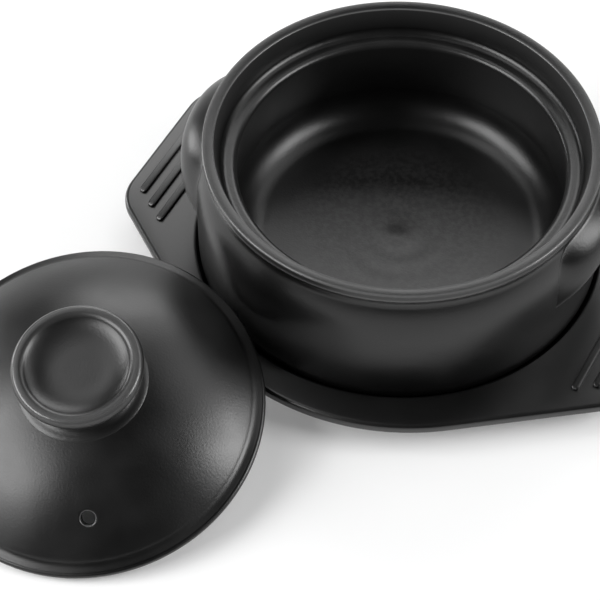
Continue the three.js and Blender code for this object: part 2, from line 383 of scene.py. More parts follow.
def turned(name: str, profile: Profile, facets: int, finish: Material | None) -> Mesh:
    """Turn a profile into a closed mesh about the Z axis.

    Args:
        name: Name of the mesh.
        profile: Outline that starts and ends on the axis.
        facets: Number of facets round the axis.
        finish: Material of the piece.

    Returns:
        The mesh, with its faces outwards.
    """
    points = np.array(profile.points) * MM
    curve = bpy.data.curves.new(name, "CURVE")
    curve.dimensions = "3D"
    spline = curve.splines.new("POLY")
    spline.points.add(len(points) - 1)
    for point, (radius, height) in zip(spline.points, points):
        point.co = (radius - SPINDLE, -height, 0, 1)
    tree = bpy.data.node_groups.get("turned_form") or turning_tree()
    values = {"Facets": facets, "Spindle": SPINDLE, "Weld": WELD, "Finish": finish}
    mesh = run_tree(placed(name, curve), tree, values)
    mesh.name = name
    face_out(mesh)
    return mesh


def lofted(name: str, rings: Sequence[np.ndarray]) -> Mesh:
    """Join rings of points into a skin, and close its first and last ring by a fan.

    Args:
        name: Name of the mesh.
        rings: Rings with the same number of points each, in metres.

    Returns:
        The mesh, with smooth faces that point outwards.
    """
    count = len(rings[0])
    hub = len(rings) * count
    last = hub - count
    points = np.concatenate([*rings, [rings[0].mean(axis=0)], [rings[-1].mean(axis=0)]]).tolist()
    around = [(j, (j + 1) % count) for j in range(count)]
    faces = [(low + j, low + k, low + count + k, low + count + j)
             for low in range(0, last, count) for j, k in around]
    faces += [(hub, k, j) for j, k in around]
    faces += [(hub + 1, last + j, last + k) for j, k in around]
    mesh = bpy.data.meshes.new(name)
    mesh.from_pydata(points, [], faces)
    mesh.polygons.foreach_set("use_smooth", [True] * len(faces))
    face_out(mesh)
    return mesh


@dataclass(frozen=True)
class DarkSatin:
    """What both finishes share: clouds of two near blacks with an uneven sheen, under a fine grain."""

    name: str
    deep: str
    worn: str
    roughness: Point
    ior: float
    cloud: float
    cloud_detail: float
    grain: float
    grain_height: float
    cloud_range: Point = (0.35, 0.65)

    def begin(self, name: str) -> tuple[Material, Socket, Source, Source]:
        """Start the material with its clouds.

        Args:
            name: Name of the material.

        Returns:
            The material, its Object coordinates, its colour and its roughness.
        """
        material = bpy.data.materials.new(name)
        material.use_nodes = True
        add = partial(add_node, material.node_tree)
        place = add("ShaderNodeTexCoord").outputs["Object"]
        noise = add("ShaderNodeTexNoise", {
            "Vector": place, "Scale": 1 / (self.cloud * MM), "Detail": self.cloud_detail})
        least, most = self.cloud_range
        patch = add("ShaderNodeMapRange", {"Value": noise, "From Min": least, "From Max": most})
        colour = add("ShaderNodeMix", {"Factor": patch, "A": linear(self.deep), "B": linear(self.worn)},
                     data_type="RGBA")
        low, high = self.roughness
        satin = add("ShaderNodeMapRange", {"Value": patch, "To Min": low, "To Max": high})
        return material, place, colour.outputs["Result"], satin

    def end(self, material: Material, place: Socket, colour: Source, sheen: Source,
            normal: Source | None = None) -> Material:
        """Lay the grain over the rest, and join everything to the shader.

        Args:
            material: Material to end.
            place: Its Object coordinates.
            colour: Its colour.
            sheen: Its roughness.
            normal: Its waves, if it has any.

        Returns:
            The same material.
        """
        tree = material.node_tree
        grain = add_node(tree, "ShaderNodeTexNoise", {
            "Vector": place, "Scale": 1 / (self.grain * MM), "Detail": 2.0})
        bump = add_node(tree, "ShaderNodeBump", {
            "Height": grain, "Distance": self.grain_height * MM, "Strength": 1.0})
        if normal is not None:
            feed(tree, bump, {"Normal": normal})
        feed(tree, tree.nodes["Principled BSDF"], {
            "IOR": self.ior, "Base Color": colour, "Roughness": sheen, "Normal": bump})
        return material


@dataclass(frozen=True)
class SatinGlaze(DarkSatin):
    """Black satin glaze on fired stoneware: a soft, slightly grainy sheen that greys where it runs thin, and
    whose grey on edges also paints their highlight lines.
    """

    name: str = "satin_black_glaze"
    deep: str = "080808"
    worn: str = "0d0d0d"
    # Grey of glaze run thin on edges, made light enough that it also paints the highlight lines along them
    thin_and_glint: str = "5c5c5c"
    # Grey flecks of the dry floor, which also paint a pool of light in the floor's middle
    dry_and_lit: str = "212121"
    roughness: Point = (0.29, 0.36)
    thin_roughness: float = 0.2
    dry_roughness: float = 0.36
    ior: float = 1.5
    # Kiln clouds: the satin is a little rougher and greyer in patches about an inch wide
    cloud: float = 26.0
    cloud_detail: float = 4.0
    # Flecks on the dry floor of the well, drawn coarser than the real 1 mm so that they show
    speckle: float = 2.4
    speckle_range: Point = (0.4, 0.62)
    # Hand-made waviness that bends the highlights
    wave: float = 21.0
    wave_height: float = 0.07
    # Rings that the thrower's fingers leave
    ring_pitch: float = 9.0
    ring_height: float = 0.02
    # Grain of the satin, drawn coarser than the real 0.1 mm so that it shows
    grain: float = 0.9
    grain_height: float = 0.045

    def material(self, blend: Blend = Blend.PLAIN, axis: Vector | None = None) -> Material:
        """Make the glaze.

        Args:
            blend: Whether the piece shows the rings of a thrown floor.
            axis: Axis of the rings in metres, for a thrown piece.

        Returns:
            The material.
        """
        material, place, colour, sheen = self.begin(f"{self.name}_{blend.value}")
        add = partial(add_node, material.node_tree)
        edge, dry_and_lit = (add("ShaderNodeAttribute", attribute_name=name).outputs["Fac"]
                     for name in ("thin_and_glint", "dry_and_lit"))
        # Grey flecks of the dry floor, fading out from its middle as a painted pool of light
        fleck = add("ShaderNodeTexNoise", {"Vector": place, "Scale": 1 / (self.speckle * MM), "Detail": 3.0})
        least, most = self.speckle_range
        spots = add("ShaderNodeMapRange", {
            "Value": fleck, "From Min": least, "From Max": most, "To Max": dry_and_lit})
        # Edges get the thin grey, which is partly painted highlight lines, and the dry floor gets its flecks
        for share, tone in ((edge, self.thin_and_glint), (spots, self.dry_and_lit)):
            colour = add("ShaderNodeMix", {"Factor": share, "A": colour, "B": linear(tone)},
                         data_type="RGBA").outputs["Result"]
        # The floor is dry and rough, and edges are rubbed glossy
        for share, rough in ((dry_and_lit, self.dry_roughness), (edge, self.thin_roughness)):
            sheen = add("ShaderNodeMix", {"Factor": share, "A": sheen, "B": rough})
        wave = add("ShaderNodeTexNoise", {"Vector": place, "Scale": 1 / (self.wave * MM), "Detail": 1.0})
        swell = add("ShaderNodeBump", {"Height": wave, "Distance": self.wave_height * MM, "Strength": 1.0})
        if blend is Blend.THROWN:
            centred = add("ShaderNodeMapping", {"Vector": place, "Location": -axis})
            # A wave texture has a ring every pi / (10 * scale)
            rings = add("ShaderNodeTexWave", {
                "Vector": centred, "Scale": math.pi / (10 * self.ring_pitch * MM), "Distortion": 1.2,
                "Detail": 2.0, "Detail Scale": 1.0}, wave_type="RINGS", rings_direction="Z")
            swell = add("ShaderNodeBump", {
                "Height": rings.outputs["Fac"], "Distance": self.ring_height * MM, "Strength": 1.0,
                "Normal": swell})
        return self.end(material, place, colour, sheen, swell)


@dataclass(frozen=True)
class MouldedMelamine(DarkSatin):
    """Black melamine pressed in a fine-blasted mould: an even satin with faint flow and rubbed patches."""

    name: str = "moulded_black_melamine"
    deep: str = "080808"
    worn: str = "0d0d0d"
    roughness: Point = (0.28, 0.33)
    ior: float = 1.68
    # Flow and rubbing: patches of about a finger's breadth or two
    cloud: float = 34.0
    cloud_detail: float = 5.0
    # Blasted texture of the mould, drawn coarser than the real 0.05 mm so that it shows
    grain: float = 0.7
    grain_height: float = 0.008

    def material(self) -> Material:
        """Make the melamine."""
        return self.end(*self.begin(self.name))


@dataclass
class Pot:
    """The stew pot: turned body with a lip, a gallery and ledge for the lid, and two luted lugs."""

    low: Vector
    high: Vector
    turn: float = 9.2
    base_corner: float = 12.5
    shoulder_drop: float = 40.0
    shoulder_pull: float = 8.0
    neck_depth: float = 4.7
    neck_drop: float = 7.4
    neck_slope: float = 28.0
    neck_pull: Point = (-0.1, 0.4)
    hollow_out: float = 0.9
    hollow_drop: float = 2.4
    hollow_pull: float = 1.6
    lip_overhang: float = 1.4
    lip_face: float = 2.9
    lip_round: float = 1.0
    lip_bead: float = 3.1
    lip_inner_drop: float = 0.45
    lip_inner_round: float = 0.7
    lip_foot_round: float = 0.4
    lip_width: float = 5.0
    gallery_taper: float = 2.0
    gallery_fillet: float = 3.4
    ledge_drop: float = 12.7
    ledge_width: float = 7.6
    ledge_round: float = 2.8
    well_flare: float = 2.6
    well_corner: float = 15.5
    floor: float = 9.7
    floor_dish: float = 3.1
    floor_margin: float = 0.5
    dimple_depth: float = 0.8
    dimple_radius: float = 6.0
    swirl_height: float = 0.06
    swirl_pitch: float = 13.0
    # Shares of the floor's radius between which the dry floor fades into glaze; the fade is also painted
    # light, lighter in the floor's middle and darker towards the wall
    dry_and_lit_fade: Point = (0.6, 0.95)
    lug_reach: float = 7.8
    lug_bluntness: float = 4.0
    lug_tip_angle: float = 25.0
    lug_tip_share: float = 0.998
    lug_arch_top_drop: float = 17.5
    lug_tip_drop: float = 37.0
    lug_seam_drop: float = 4.7
    lug_seam_bend: float = 0.13
    lug_roof: float = 0.62
    lug_slope: float = 0.24
    lug_shoulder: float = 0.5
    lug_flare: float = 0.02
    lug_edge_round: float = 1.1
    lug_crest: float = 1.5
    lug_crest_end: float = 0.06
    lug_crest_round: float = 0.5
    # How far the crest's round goes over, as a share of its radius
    lug_crest_lean: float = 0.7
    # Most that the crest, its round and the lower edge take of a section, and how the crest fades to the tips
    lug_crest_of_depth: float = 0.3
    lug_round_of_crest: float = 0.4
    lug_round_of_height: float = 0.2
    lug_edge_of_height: float = 0.3
    lug_edge_of_depth: float = 0.45
    lug_least_depth: float = 0.02
    lug_crest_taper: float = 1.5
    lug_sections: int = 129
    lute_depth: float = 0.4
    # Points of the outside that lie further in from the neck than this belong to the base
    base_margin: float = 1.0
    facets: int = 192
    edge_radius: float = 0.8
    lug_edge_radius: float = 1.1

    def __post_init__(self) -> None:
        """Work out the main sizes from the solid's box."""
        self.axis = (self.low + self.high) / 2
        self.axis.z = self.low.z
        self.height = (self.high.z - self.low.z) / MM
        self.belly = (self.high.y - self.low.y) / 2 / MM
        self.neck = self.belly - self.neck_depth
        self.lip = self.neck + self.lip_overhang
        self.lip_under = self.height - self.lip_round - self.lip_face
        self.mouth = self.lip - self.lip_width
        self.gallery_foot = self.mouth - self.gallery_taper
        self.well_mouth = self.gallery_foot - self.ledge_width
        self.well = self.well_mouth + self.well_flare
        self.floor_radius = self.well - self.well_corner
        self.neck_height = self.height - self.neck_drop
        self.ledge = self.height - self.ledge_drop

    def outside(self) -> Profile:
        """Draw the outside.

        Returns:
            The profile from the middle of the base to the lip's edge.
        """
        shoulder = self.height - self.shoulder_drop
        foot = self.lip_foot_round
        slope = math.tan(math.radians(self.neck_slope))
        path = Profile(0, 0).line(self.belly - self.base_corner, 0, steps=12)
        path.arc((self.belly - self.base_corner, self.base_corner), self.base_corner, -90, 0, steps=24)
        path.line(self.belly, shoulder, steps=8)
        # The shoulder swells all the way up and turns in to the neck's hollow
        r, z = self.neck + self.hollow_out, self.neck_height - self.hollow_drop
        path.curve((self.belly, (shoulder + self.neck_height) / 2),
                   (r + self.shoulder_pull * slope, z - self.shoulder_pull), (r, z), steps=32)
        path.curve((r - self.hollow_pull * slope, z + self.hollow_pull),
                   (self.neck + self.neck_pull[0], self.neck_height + self.neck_pull[1]),
                   (self.lip - foot, self.lip_under - foot / 3), steps=18)
        path.curve((self.lip, self.lip_under), (self.lip, self.lip_under + foot), steps=6)
        return path.line(self.lip, self.height - self.lip_round, steps=3)

    def profile(self) -> Profile:
        """Draw the whole pot.

        Returns:
            The profile from the middle of the base, over the lip, to the middle of the floor.
        """
        path = self.outside()
        top = self.height
        inner_top = top - self.lip_inner_drop
        inner = self.lip_inner_round
        # Bead of the lip
        path.curve((self.lip, top), (self.lip - self.lip_round, top), steps=12)
        path.curve((self.lip - self.lip_bead, top), (self.mouth + inner, inner_top), steps=10)
        path.curve((self.mouth, inner_top - inner / 4), (self.mouth, inner_top - inner), steps=8)
        # Gallery, ledge and well
        path.arc((self.gallery_foot - self.gallery_fillet, self.ledge + self.gallery_fillet),
                 self.gallery_fillet, 0, -90, steps=12)
        path.arc((self.well_mouth + self.ledge_round, self.ledge - self.ledge_round),
                 self.ledge_round, 90, 180, steps=10)
        tilt = math.degrees(math.atan2(2 * self.floor_dish, self.floor_radius))
        path.arc((self.floor_radius, self.floor + self.floor_dish + self.well_corner), self.well_corner,
                 0, tilt - 90, steps=28)
        return path.curve((self.floor_radius / 2, self.floor), (0, self.floor), steps=60)

    def press_floor(self, mesh: Mesh) -> None:
        """Press the thrower's dimple and one-armed spiral into the well's floor, and store where it is dry,
        which also paints a pool of light in the floor's middle.

        Args:
            mesh: The body about the Z axis, standing on its base. It gets a point attribute for the dry
                floor, which fades out from the middle as painted light.
        """
        place = columns(mesh.vertices, "co", 3)
        x, y, z = place.T / MM
        radius = np.hypot(x, y)
        share = radius / self.floor_radius
        floor = (np.abs(z - self.floor) < self.floor_dish + self.floor_margin) & (share <= 1)
        fade = np.clip(1 - share, 0, 1) * radius / (radius + self.dimple_radius)
        arm = np.cos(2 * np.pi * radius / self.swirl_pitch - np.arctan2(y, x))
        dimple = self.dimple_depth * np.exp(-(radius / self.dimple_radius) ** 2)
        relief = self.swirl_height * arm * fade - dimple
        place[:, 2] += np.where(floor, relief, 0) * MM
        mesh.vertices.foreach_set("co", place.ravel())
        mesh.update()
        # The dry floor's grey fades out towards the wall, so the floor's middle is painted lighter, as if
        # light fell there
        start, end = self.dry_and_lit_fade
        store(mesh, "dry_and_lit", np.clip((end - share) / (end - start), 0, 1) * floor)

    def lug_mesh(self, name: str) -> Mesh:
        """Build a lug on the +X side, about the pot's axis.

        A narrow shelf under the lip ends in a crest, from which the face slopes out to the lower edge. Both
        draw together at the two tips.

        Args:
            name: Name of the mesh.

        Returns:
            A closed hood that ends in two tips on the belly.
        """
        wall = np.array(self.outside().points)
        wall = wall[(wall[:, 1] <= self.lip_under) & (wall[:, 0] > self.neck - self.base_margin)]
        tip = math.radians(self.lug_tip_angle)
        low = self.height - self.lug_tip_drop
        arch_rise = self.height - self.lug_arch_top_drop - low
        seam_rise = self.height - self.lug_seam_drop - low

        def wall_at(height: float) -> float:
            """Radius of the pot's outside at a height."""
            return float(np.interp(height, wall[:, 1], wall[:, 0]))

        rings = []
        for step in np.linspace(-1, 1, self.lug_sections):
            share = self.lug_tip_share * math.sin(step * math.pi / 2)
            angle = share * tip
            full = 1 - share ** 2
            face = self.belly + self.lug_reach * (1 - abs(share) ** self.lug_bluntness)
            arch = low + arch_rise * full
            seam = low + seam_rise * full ** self.lug_seam_bend
            root = wall_at(seam)
            tall = seam - arch
            deep = face - root
            # The shelf, its crest and the lower edge get smaller with the section
            crest = min(self.lug_crest, self.lug_crest_of_depth * deep) * full ** self.lug_crest_taper
            crest = max(self.lug_crest_end, crest)
            turn = min(self.lug_crest_round, self.lug_round_of_crest * crest, self.lug_round_of_height * tall)
            under = max(face - wall_at(arch), self.lug_least_depth)
            edge = min(self.lug_edge_round, self.lug_edge_of_height * tall, self.lug_edge_of_depth * under)
            over = self.lug_crest_lean * turn
            section = Profile(root - self.lute_depth, seam).line(root + crest - turn, seam, steps=3)
            section.round_off((root + crest, seam), ((0, 0), (over, -over)), steps=6)
            section.curve((root + self.lug_roof * deep, seam - self.lug_slope * tall),
                          (face - self.lug_flare * deep, arch + self.lug_shoulder * tall),
                          (face, arch + edge), steps=30)
            section.arc((face - edge, arch + edge), edge, 0, -90, steps=8)
            section.line(wall_at(arch) - self.lute_depth, arch, steps=8)
            # The back follows the wall, a little inside it
            back = np.linspace(arch, seam, 24)[1:-1]
            section.points += [(wall_at(z) - self.lute_depth, float(z)) for z in back]
            loop = np.array(section.points)
            rings.append(np.c_[loop[:, 0] * math.cos(angle), loop[:, 0] * math.sin(angle), loop[:, 1]] * MM)
        return lofted(name, rings)

    def build(self, glaze: SatinGlaze) -> None:
        """Build and dress the body and both lugs.

        Args:
            glaze: Finish of the pot.
        """
        plain = glaze.material()
        stand = Matrix.Translation(self.axis) @ Matrix.Rotation(math.radians(self.turn), 4, "Z")
        thrown = glaze.material(Blend.THROWN, self.axis)
        mesh = turned("pot_body_turned", self.profile(), self.facets, thrown)
        self.press_floor(mesh)
        mesh.transform(stand)
        thin_glaze_and_glints(mesh, self.edge_radius)
        show(placed("stew_pot", mesh), "pot", "pot_body")
        for side, node in ((Side.RIGHT, "right_lug"), (Side.LEFT, "left_lug")):
            lug = self.lug_mesh(f"{node}_luted")
            half_turn = Matrix.Rotation(0 if side is Side.RIGHT else math.pi, 4, "Z")
            lug.transform(stand @ half_turn)
            lug.materials.append(plain)
            thin_glaze_and_glints(lug, self.lug_edge_radius)
            show(placed(f"{side.name.lower()}_ear", lug), "pot", node)


@dataclass
class Lid:
    """The lid: a vented dome with a soft band round its rim, and a dished knob."""

    pot: Pot
    clearance: float = 4.0
    edge: float = 2.9
    edge_round: float = 1.44
    rim_curve: Curve = ((-2.016, 0.5), (0.0, 0.0))
    rim_chamfer: float = 0.6
    rim_chamfer_angle: float = 0.4
    band: float = 3.4
    band_rise: float = 1.3
    band_top: float = 3.6
    line_width: float = 4.2
    line_depth: float = -0.02
    line_pull: float = 0.6
    rise: float = 27.0
    wall: float = 5.5
    vent: float = 3.0
    vent_distance: float = 54.3
    vent_heading: float = -58.0
    vent_flare: float = 0.9
    # How far the trumpet that cuts the vent stands out of the dome at its flare, and widens above it
    vent_lift: float = 0.02
    vent_spread: float = 0.6
    vent_facets: int = 48
    # How far the vent's rim is rubbed and painted light as a highlight ring, and between which shares of its
    # flare
    vent_rub_and_glint: float = 0.75
    vent_rub_and_glint_range: Point = (0.01, 0.45)
    knob: float = 26.9
    knob_height: float = 13.2
    knob_rim: float = 5.7
    knob_neck: float = 20.0
    knob_flare: float = 28.0
    knob_dish: float = 22.2
    knob_dish_depth: float = 4.4
    knob_dish_flat: float = 8.0
    knob_top_inset: float = 2.2
    # Curves of the knob: how far each one's control and end lie from the corner that it rounds off
    dish_wall: Curve = ((-5.0, 0.0), (-1.0, 3.1))
    dish_lip: Curve = ((-0.1, -0.1), (1.6, 0.0))
    rim_top: Curve = ((-0.5, 0.0), (0.0, -2.4))
    rim_side: Curve = ((0.2, 2.3), (-0.3, 1.2))
    rim_under: Curve = ((-0.6, 0.2), (-1.9, 0.0))
    neck_top: Curve = ((0.2, -0.2), (0.0, -2.4))
    neck_foot: Curve = ((0.1, 2.2), (5.2, 1.1))
    foot_edge: Curve = ((-0.8, 0.5), (0.0, -0.7))
    knob_slide: float = 1.2
    knob_slide_heading: float = 51.0
    knob_facets: int = 144
    knob_edge_radius: float = 1.4
    lute_gap: float = -1.1
    standoff: float = 1.5
    heading: float = -115.3
    lean: float = 13.4
    lean_heading: float = -84.0
    floor_gap: float = 0.3
    facets: int = 168
    sharp_angle: float = 38.0

    def __post_init__(self) -> None:
        """Work out the dome's sphere and rim."""
        self.radius = self.pot.gallery_foot - self.clearance
        self.valley = self.radius - self.band
        self.valley_height = self.edge + self.band_rise
        self.top = self.valley_height + self.rise
        self.sphere = (self.rise ** 2 + self.valley ** 2) / (2 * self.rise)
        self.centre = self.top - self.sphere

    def dome_profile(self) -> Profile:
        """Draw the dome.

        Returns:
            The profile from its crown outside, round the rim, to its crown inside.
        """
        inner = self.sphere - self.wall
        foot = math.degrees(math.asin(-self.centre / inner))
        start = math.degrees(math.acos((self.valley - self.line_width / 2) / self.sphere))
        line = self.valley_height - self.line_depth
        rim = self.radius - self.edge_round
        path = Profile(0, self.top).arc((0, self.centre), self.sphere, 90, start, steps=72)
        # The dome runs into the band, which rounds over to the rim
        path.curve((self.valley - self.line_pull, line), (self.valley + self.line_pull, line),
                   (self.valley + self.line_width / 2, self.band_top), steps=16)
        path.round_off((rim, self.edge), self.rim_curve, steps=12)
        path.arc((rim, self.edge - self.edge_round), self.edge_round, 90, 0, steps=8)
        path.arc((rim, self.edge_round), self.edge_round, 0, -90, steps=8)
        path.line(inner * math.cos(math.radians(foot)) + self.rim_chamfer, 0, steps=4)
        return path.arc((0, self.centre), inner, foot + self.rim_chamfer_angle, 90, steps=56)

    def knob_profile(self) -> Profile:
        """Draw the knob.

        Returns:
            The profile from the middle of its dish to the middle of its seat on the dome.
        """
        seat = self.sphere + self.lute_gap
        foot = self.centre + math.sqrt(self.sphere ** 2 - self.knob_flare ** 2)
        top = self.top + self.knob_height
        floor = top - self.knob_dish_depth
        under = top - self.knob_rim
        dish, knob, neck, flare = self.knob_dish, self.knob, self.knob_neck, self.knob_flare
        # Dish
        path = Profile(0, floor).line(self.knob_dish_flat, floor, steps=4)
        path.round_off((dish, floor), self.dish_wall, steps=24)
        path.round_off((dish, top), self.dish_lip, steps=10)
        # Rounded rim
        path.line(knob - self.knob_top_inset, top, steps=2)
        path.round_off((knob, top), self.rim_top, steps=12)
        path.round_off((knob, under), self.rim_side, steps=8)
        path.round_off((knob, under), self.rim_under, steps=10)
        # Neck and flared foot
        path.round_off((neck, under), self.neck_top, steps=12)
        path.round_off((neck, foot), self.neck_foot, steps=16)
        path.round_off((flare, foot), self.foot_edge, steps=6)
        return path.arc((0, self.centre), seat, math.degrees(math.acos(flare / seat)), 90, steps=16)

    def place(self) -> Matrix:
        """Where the lid leans: beside the pot, with its near edge on the table.

        Returns:
            The matrix from the lid standing on its rim at the origin.
        """
        way = math.radians(self.heading)
        distance = (self.pot.belly + self.standoff + self.radius) * MM
        lean = math.radians(self.lean)
        drop = (self.radius - self.edge_round) * math.sin(lean) + self.edge_round * (1 - math.cos(lean))
        stand = Vector((self.pot.axis.x + distance * math.cos(way),
                        self.pot.axis.y + distance * math.sin(way), (drop + self.floor_gap) * MM))
        toward = math.radians(self.lean_heading)
        tilt = Matrix.Rotation(lean, 4, Vector((-math.sin(toward), math.cos(toward), 0)))
        return Matrix.Translation(stand) @ tilt

    def vent_place(self) -> Matrix:
        """Where the vent is on the standing lid: square to the dome, with its origin on the dome's surface.

        Returns:
            The matrix from a vent about the Z axis.
        """
        tilt = Matrix.Rotation(math.asin(self.vent_distance / self.sphere), 4, "Y")
        heading = Matrix.Rotation(math.radians(self.vent_heading), 4, "Z")
        return (Matrix.Translation((0, 0, self.centre * MM)) @ heading @ tilt
                @ Matrix.Translation((0, 0, self.sphere * MM)))

    def rub_and_light_vent(self, mesh: Mesh) -> None:
        """Store the glaze as thin on the vent's flared rim, which paints a light ring there: partly rubbed
        glaze, partly a painted highlight.

        Args:
            mesh: The vented dome, standing on its rim at the origin.
        """
        inward = self.vent_place().inverted()
        place = np.array([inward @ vertex.co for vertex in mesh.vertices]) / MM
        away = (np.hypot(place[:, 0], place[:, 1]) - self.vent) / self.vent_flare
        least, most = self.vent_rub_and_glint_range
        rim = (away > least) & (away < most) & (np.abs(place[:, 2]) < self.vent_flare)
        store(mesh, "thin_and_glint", self.vent_rub_and_glint * rim)

    def vent_cutter(self) -> Piece:
        """Build what opens the vent.

        Returns:
            A trumpet that reaches through the dome, with its flare at the dome's surface.
        """
        flare = self.vent + self.vent_flare
        reach = self.wall
        path = Profile(0, -2 * reach).line(self.vent, -2 * reach).line(self.vent, -self.vent_flare)
        path.curve((self.vent, 0), (flare, self.vent_lift), steps=8)
        path.line(flare + self.vent_spread, reach).line(0, reach)
        mesh = turned("vent_trumpet", path, self.vent_facets, None)
        mesh.transform(self.vent_place())
        return placed("vent_trumpet", mesh)

    def build(self, glaze: SatinGlaze) -> None:
        """Build and dress the dome and the knob.

        Args:
            glaze: Finish of the lid.
        """
        plain = glaze.material()
        lean = self.place()
        dome = placed("lid_dome_turned", turned("lid_dome_turned", self.dome_profile(), self.facets, plain))
        cutter = self.vent_cutter()
        bore = dome.modifiers.new("vent", "BOOLEAN")
        bore.object = cutter
        bore.operation = "DIFFERENCE"
        bore.solver = "EXACT"
        vented = evaluated(dome)
        for spare in (dome, cutter):
            bpy.data.objects.remove(spare)
        self.rub_and_light_vent(vented)
        vented.transform(lean)
        vented.set_sharp_from_angle(angle=math.radians(self.sharp_angle))
        show(placed("domed_lid", vented), "lid", "lid_dome")
        knob = turned("lid_knob_turned", self.knob_profile(), self.knob_facets, plain)
        # The knob sits a little off the middle, slid along the dome
        way = Matrix.Rotation(math.radians(self.knob_slide_heading), 4, "Z")
        slide = way @ Matrix.Rotation(math.radians(self.knob_slide), 4, "Y") @ way.inverted()
        hub = Matrix.Translation((0, 0, self.centre * MM))
        knob.transform(lean @ hub @ slide @ hub.inverted())
        thin_glaze_and_glints(knob, self.knob_edge_radius)
        show(placed("dished_knob", knob), "lid", "lid_knob")


def ribbed_tree() -> Tree:
    """Geometry Nodes for the tray's grip ribs: rows of round-ended ribs grow from both wings.

    Returns:
        The tree, which takes the tray's mesh and gives it back with the ribs joined to it.
    """
    lengths = ("Pitch", "Outer Row", "Width", "Height", "End Inset", "Disc Radius", "Side Angle",
               "Plate Top")
    sizes = {"Count": "NodeSocketInt", **dict.fromkeys(lengths, "NodeSocketFloat")}
    tree, given = geometry_tree("grip_ribs", sizes)
    add = partial(add_node, tree)
    here = add("ShaderNodeSeparateXYZ", {0: add("GeometryNodeInputPosition")})
    known = {socket.name: socket for socket in (*given.outputs, *here.outputs)}
    known["row"] = add("GeometryNodeInputNamedAttribute", {"Name": "row"})

    # Sums: a name, an operation and its terms, which are numbers or names known by then
    sums = (("half", "MULTIPLY", "Width", 0.5), ("back", "MULTIPLY", "Pitch", -1.0),
            ("crown", "DIVIDE", "Height", "half"),
            # An eighth-power round in place of a circle gives flat tops and steep flanks
            ("x_eighth", "POWER", "X", 8.0), ("z_eighth", "POWER", "Z", 8.0),
            ("full", "ADD", "x_eighth", "z_eighth"),
            ("x_square", "POWER", "X", 2.0), ("z_square", "POWER", "Z", 2.0),
            ("disc", "ADD", "x_square", "z_square"), ("ring", "POWER", "disc", 4.0),
            ("ratio", "DIVIDE", "ring", "full"), ("fuller", "POWER", "ratio", 0.125),
            ("boxed_x", "MULTIPLY", "X", "fuller"), ("boxed_z", "MULTIPLY", "Z", "fuller"),
            # A rib reaches to the end inset from the wing's slanted side
            ("sine", "SINE", "Side Angle"), ("cosine", "COSINE", "Side Angle"),
            ("slant", "MULTIPLY", "row", "sine"), ("left", "SUBTRACT", "Disc Radius", "slant"),
            ("side", "DIVIDE", "left", "cosine"), ("inset", "ADD", "End Inset", "half"),
            ("reach", "SUBTRACT", "side", "inset"),
            ("hand", "SIGN", "Y"), ("drawn", "MULTIPLY", "hand", "reach"))
    for name, operation, *terms in sums:
        inputs = {i: known.get(term, term) for i, term in enumerate(terms)}
        known[name] = add("ShaderNodeMath", inputs, operation=operation)
    vectors = {"first": ("Outer Row", 0.0, "Plate Top"), "step": ("back", 0.0, 0.0),
               "squat": (1.0, 1.0, "crown"), "boxed": ("boxed_x", "Y", "boxed_z"),
               "offset": (0.0, "drawn", 0.0)}
    for name, parts in vectors.items():
        inputs = {i: known.get(part, part) for i, part in enumerate(parts)}
        known[name] = add("ShaderNodeCombineXYZ", inputs)

    rows = add("GeometryNodeMeshLine", {
        "Count": known["Count"], "Start Location": known["first"], "Offset": known["step"]})
    named = add("GeometryNodeStoreNamedAttribute", {"Geometry": rows, "Name": "row", "Value": known["X"]})
    # An odd number of rings leaves none at the middle, so the ball can be drawn apart there
    ball = add("GeometryNodeMeshUVSphere", {"Segments": 32, "Rings": 17, "Radius": known["half"]})
    laid = add("GeometryNodeTransform", {"Geometry": ball, "Rotation": (math.pi / 2, 0.0, 0.0)})
    bar = add("GeometryNodeSetPosition", {"Geometry": laid, "Position": known["boxed"]})
    flat = add("GeometryNodeTransform", {"Geometry": bar, "Scale": known["squat"]})
    each = add("GeometryNodeInstanceOnPoints", {"Points": named, "Instance": flat})
    real = add("GeometryNodeRealizeInstances", {"Geometry": each})
    ribs = add("GeometryNodeSetPosition", {"Geometry": real, "Offset": known["offset"]})
    other = add("GeometryNodeTransform", {"Geometry": ribs, "Rotation": (0.0, 0.0, math.pi)})
    union = add("GeometryNodeMeshBoolean", {1: [known["Form"], ribs, other]},
                operation="UNION", solver="EXACT")
    end_tree(tree, union, known["Finish"])
    return tree


